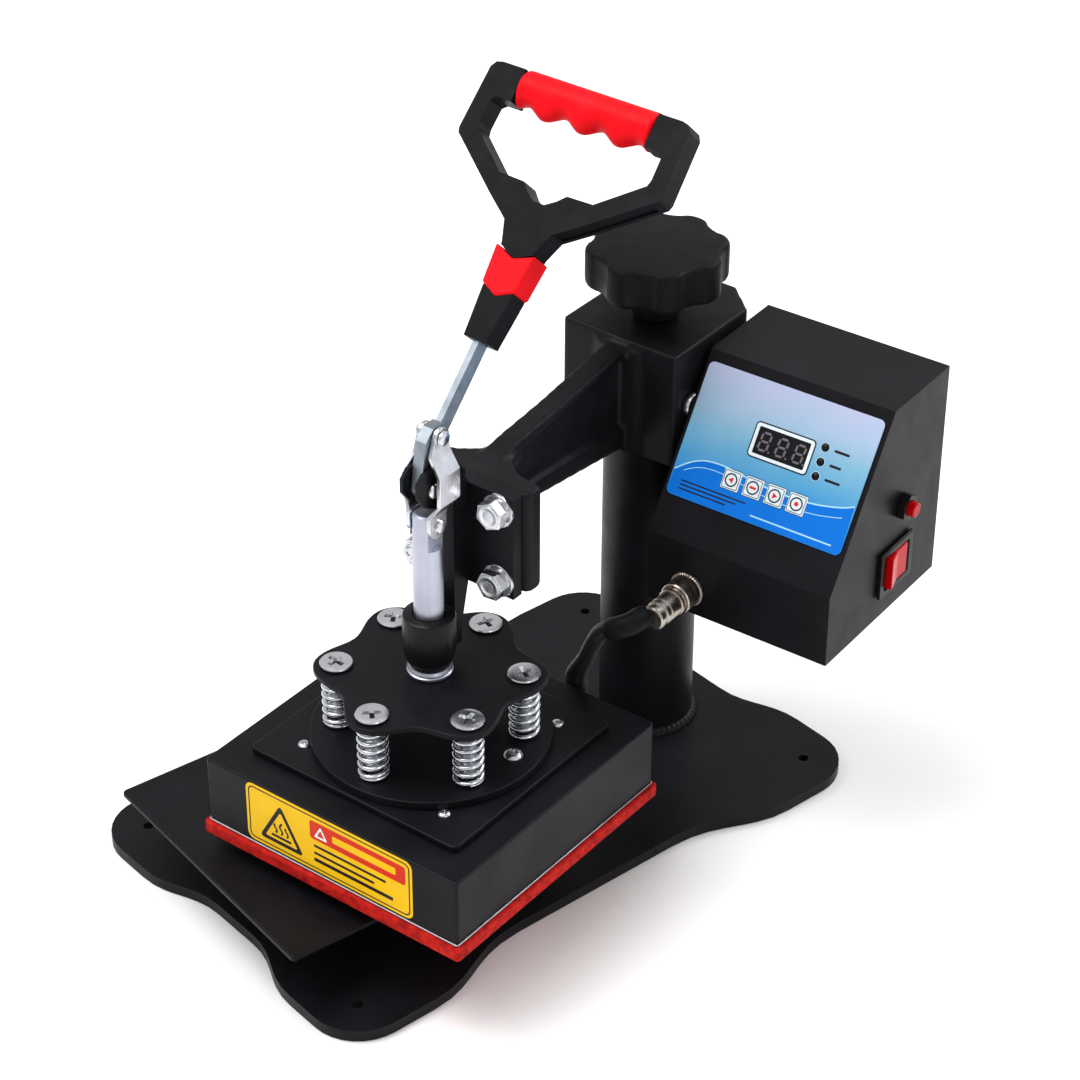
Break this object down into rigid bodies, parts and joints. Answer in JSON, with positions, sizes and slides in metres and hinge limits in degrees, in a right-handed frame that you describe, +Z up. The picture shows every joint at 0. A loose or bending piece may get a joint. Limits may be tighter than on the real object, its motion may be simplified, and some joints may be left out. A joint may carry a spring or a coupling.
{
  "type": "swing away heat press",
  "caption": "Small swing-away heat press: sprung square heated platen on a toggle lever, swinging arm on a column, flat lower platen and a side control box.",
  "frame": {"origin": "centre of the base plate's underside, on the surface that the press stands on", "axes": "+Z up along the column, -Y towards the operator, +X to the operator's right; the column stands at +Y"},
  "size_m": [0.2525, 0.3621, 0.3797],
  "materials": {
    "black_paint": "satin black powder coat",
    "cast_black": "satin black paint over a cast surface",
    "zinc": "bright zinc plate",
    "chrome": "satin chrome",
    "aluminium": "machined aluminium",
    "black_plastic": "moulded black nylon, fine texture",
    "red_rubber": "soft moulded rubber",
    "red_plastic": "glossy red plastic",
    "silicone": "matt silicone sponge",
    "overlay": "printed polyester film, semi gloss",
    "display_window": "dark smoked window with numeral segments",
    "white_plastic": "white keys",
    "circuit_board": "green solder mask",
    "insulation": "needled mineral wool",
    "cable": "black sleeve"
  },
  "bodies": {
    "base": {"base_plate": "black_paint", "column": "black_paint", "platen_post": "black_paint", "lower_platen": "black_paint"},
    "lift": {"thrust_collar": "zinc"},
    "knob": {"pressure_knob": "black_plastic", "pressure_screw": "zinc"},
    "arm": {"arm_casting": "cast_black", "toggle_bracket": "black_paint", "guide_sleeve": "black_paint", "lever_pivot_pin": "zinc", "box_shell": "black_paint", "box_back": "black_paint", "panel_overlay": "overlay", "display": "display_window", "circuit_board": "circuit_board", "connector_socket": "zinc", "connector_plug": "zinc", "breaker_body": "black_plastic", "rocker_frame": "black_plastic", "mains_gland": "black_plastic", "box_spacer_1": "zinc", "box_spacer_2": "zinc", "lead_upper": "cable"},
    "lever": {"lever_crank": "zinc", "link_pin": "zinc", "handle_frame": "black_plastic", "handle_grip": "red_rubber", "handle_collar": "red_rubber"},
    "links": {"link_left": "zinc", "link_right": "zinc"},
    "plunger": {"plunger": "chrome", "plunger_pin": "zinc", "ring_nut": "chrome", "spring_plate": "black_paint", "lead_lower": "cable"},
    "head": {"head_disc": "black_paint", "step_plate": "black_paint", "float_screw_1": "zinc", "float_screw_2": "zinc", "float_screw_3": "zinc", "float_screw_4": "zinc", "float_screw_5": "zinc", "float_screw_6": "zinc", "spring_1": "chrome", "spring_2": "chrome", "spring_3": "chrome", "spring_4": "chrome", "spring_5": "chrome", "spring_6": "chrome", "head_cover": "black_paint", "insulation": "insulation", "heater_plate": "aluminium", "silicone_pad": "silicone"},
    "key_1": {"key_1": "white_plastic"},
    "key_2": {"key_2": "white_plastic"},
    "key_3": {"key_3": "white_plastic"},
    "key_4": {"key_4": "white_plastic"},
    "breaker_button": {"breaker_button": "red_plastic"},
    "power_rocker": {"power_rocker": "red_plastic"}
  },
  "joints": [
    {"name": "lift", "type": "slide", "parent": "base", "child": "lift", "axis": [0, 0, 1], "range_m": [-0.001, 0.009]},
    {"name": "knob_turn", "type": "hinge", "parent": "lift", "child": "knob", "pos_m": [0, 0.111, 0.26], "axis": [0, 0, 1], "range_deg": [-183, 1624]},
    {"name": "arm_swing", "type": "hinge", "parent": "lift", "child": "arm", "pos_m": [0, 0.111, 0.2], "axis": [0, 0, 1], "range_deg": [-12.3, 90]},
    {"name": "handle_swing", "type": "hinge", "parent": "arm", "child": "lever", "pos_m": [0.03771, -0.06194, 0.233], "axis": [0.977, 0.213, 0], "range_deg": [-0.5, 82.5]},
    {"name": "link_swing", "type": "hinge", "parent": "lever", "child": "links", "pos_m": [0.03621, -0.0551, 0.257], "axis": [0.977, 0.213, 0], "range_deg": [-42, 1]},
    {"name": "plunger_slide", "type": "slide", "parent": "arm", "child": "plunger", "axis": [0, 0, 1], "range_m": [-0.0063, 0]},
    {"name": "head_float", "type": "slide", "parent": "plunger", "child": "head", "axis": [0, 0, 1], "range_m": [0, 0.008], "stiffness_N_per_m": 9000, "springref_m": -0.004, "deforming": ["spring_1", "spring_2", "spring_3", "spring_4", "spring_5", "spring_6"]},
    {"name": "key_1_press", "type": "slide", "parent": "arm", "child": "key_1", "axis": [-0.2079, 0.8039, -0.5572], "range_m": [0, 0.0005], "stiffness_N_per_m": 60, "springref_m": -0.001},
    {"name": "key_2_press", "type": "slide", "parent": "arm", "child": "key_2", "axis": [-0.2079, 0.8039, -0.5572], "range_m": [0, 0.0005], "stiffness_N_per_m": 60, "springref_m": -0.001},
    {"name": "key_3_press", "type": "slide", "parent": "arm", "child": "key_3", "axis": [-0.2079, 0.8039, -0.5572], "range_m": [0, 0.0005], "stiffness_N_per_m": 60, "springref_m": -0.001},
    {"name": "key_4_press", "type": "slide", "parent": "arm", "child": "key_4", "axis": [-0.2079, 0.8039, -0.5572], "range_m": [0, 0.0005], "stiffness_N_per_m": 60, "springref_m": -0.001},
    {"name": "breaker_press", "type": "slide", "parent": "arm", "child": "breaker_button", "axis": [-0.9681, -0.2504, 0], "range_m": [0, 0.002], "stiffness_N_per_m": 80, "springref_m": -0.001},
    {"name": "power_rock", "type": "hinge", "parent": "arm", "child": "power_rocker", "pos_m": [0.13199, 0.14677, 0.1495], "axis": [0, 0, -1], "range_deg": [0, 16]}
  ],
  "couplings": [
    {"joint": "knob_turn", "follows": "lift", "rad_per_m": 3141.6},
    {"joint": "handle_swing", "follows": "plunger_slide", "rad_per_m": -227.27},
    {"joint": "link_swing", "follows": "plunger_slide", "rad_per_m": 113.64}
  ]
}
